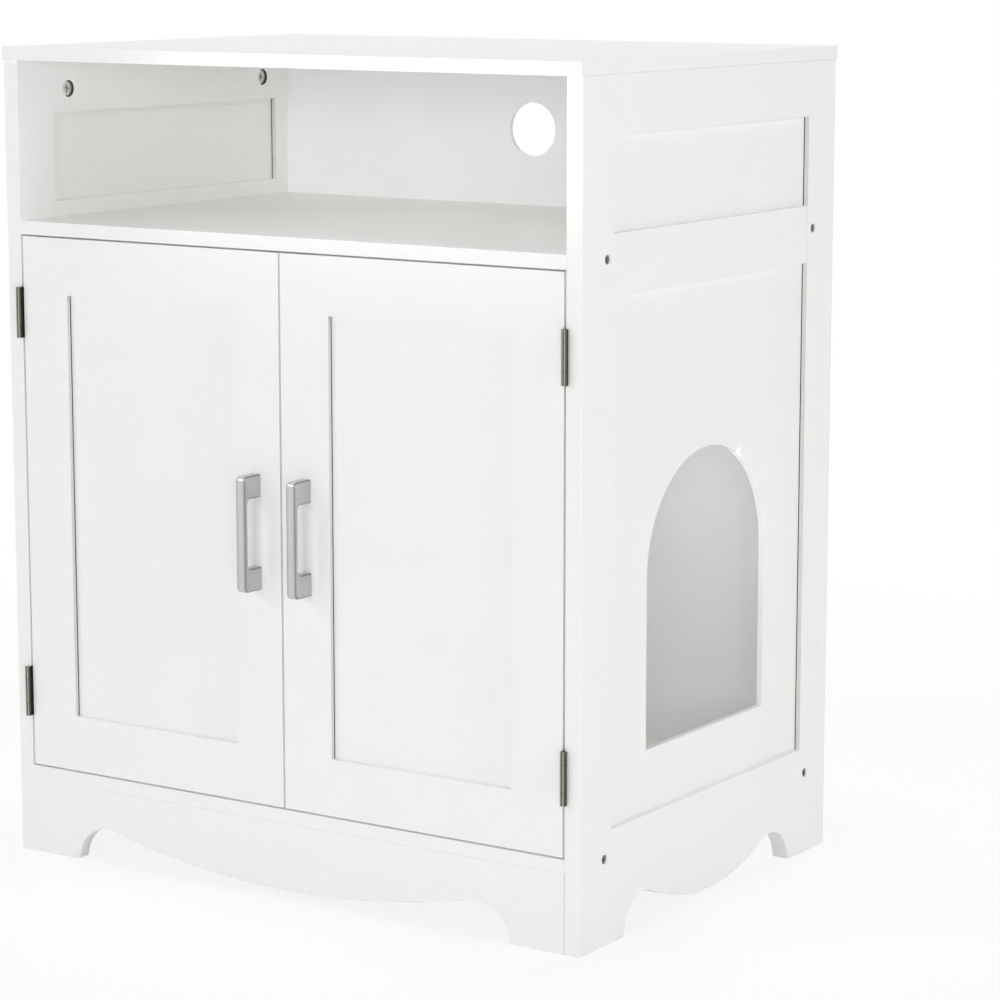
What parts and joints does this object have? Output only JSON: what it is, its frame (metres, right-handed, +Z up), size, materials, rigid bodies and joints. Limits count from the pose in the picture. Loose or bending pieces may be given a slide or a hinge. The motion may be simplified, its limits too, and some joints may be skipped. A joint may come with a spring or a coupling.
{
  "type": "cat litter box cabinet",
  "caption": "White cupboard that hides a litter tray: doors in front, arched cat entry in the side, open compartment under the top.",
  "frame": {"origin": "on the floor, in the middle of the whole cabinet with its handles", "axes": "+X to the right as seen from the front, +Y to the back, +Z up; the cat entry is in the +X side"},
  "size_m": [0.6, 0.4444, 0.725],
  "materials": {
    "white_lacquer": "satin white lacquer on fibreboard",
    "inset_board": "satin white lacquer on thin fibreboard",
    "back_sheet": "white laminated fibreboard sheet",
    "beech": "fluted beech",
    "handle_metal": "satin nickel plate",
    "hinge_metal": "brushed nickel plate",
    "dark_screws": "black zinc plate",
    "zinc_screws": "bright zinc plate",
    "cam_metal": "die-cast zinc",
    "catch_plastic": "moulded white plastic",
    "magnet": "sintered ferrite",
    "strike_steel": "zinc-plated steel"
  },
  "bodies": {
    "cabinet": {"top_board": "white_lacquer", "middle_shelf": "white_lacquer", "floor_board": "white_lacquer", "front_apron": "white_lacquer", "back_panel": "back_sheet", "left_side_front_stile": "white_lacquer", "left_side_rear_stile": "white_lacquer", "left_side_top_rail": "white_lacquer", "left_side_mid_rail": "white_lacquer", "left_side_bottom_rail": "white_lacquer", "left_side_upper_panel": "inset_board", "left_side_lower_panel": "inset_board", "back_panel_screws": "zinc_screws", "catch_housing": "catch_plastic", "catch_magnets": "magnet", "catch_screws": "zinc_screws", "left_lower_hinge_cabinet_leaf": "hinge_metal", "left_upper_hinge_cabinet_leaf": "hinge_metal", "right_side_front_stile": "white_lacquer", "right_side_rear_stile": "white_lacquer", "right_side_top_rail": "white_lacquer", "right_side_mid_rail": "white_lacquer", "right_side_bottom_rail": "white_lacquer", "right_side_upper_panel": "inset_board", "right_side_lower_panel": "inset_board", "right_lower_hinge_cabinet_leaf": "hinge_metal", "right_upper_hinge_cabinet_leaf": "hinge_metal", "carcass_dowels": "beech", "cam_locks": "cam_metal", "cam_bolts": "cam_metal", "panel_screws": "dark_screws", "cabinet_hinge_screws": "zinc_screws", "hinge_pins": "hinge_metal"},
    "left_door": {"left_door_hinge_stile": "white_lacquer", "left_door_lock_stile": "white_lacquer", "left_door_top_rail": "white_lacquer", "left_door_bottom_rail": "white_lacquer", "left_door_panel": "inset_board", "left_door_handle": "handle_metal", "left_door_dowels": "beech", "left_door_handle_screws": "zinc_screws", "left_door_strike_plate": "strike_steel", "left_door_strike_screw": "zinc_screws", "left_lower_hinge_door_leaf": "hinge_metal", "left_upper_hinge_door_leaf": "hinge_metal", "left_door_hinge_screws": "zinc_screws"},
    "right_door": {"right_door_hinge_stile": "white_lacquer", "right_door_lock_stile": "white_lacquer", "right_door_top_rail": "white_lacquer", "right_door_bottom_rail": "white_lacquer", "right_door_panel": "inset_board", "right_door_handle": "handle_metal", "right_door_dowels": "beech", "right_door_handle_screws": "zinc_screws", "right_door_strike_plate": "strike_steel", "right_door_strike_screw": "zinc_screws", "right_lower_hinge_door_leaf": "hinge_metal", "right_upper_hinge_door_leaf": "hinge_metal", "right_door_hinge_screws": "zinc_screws"}
  },
  "joints": [
    {"name": "left_door_swing", "type": "hinge", "parent": "cabinet", "child": "left_door", "pos_m": [-0.2858, -0.20335, 0.3205], "axis": [0, 0, -1], "range_deg": [0, 180]},
    {"name": "right_door_swing", "type": "hinge", "parent": "cabinet", "child": "right_door", "pos_m": [0.2858, -0.20335, 0.3205], "axis": [0, 0, 1], "range_deg": [0, 180]}
  ]
}
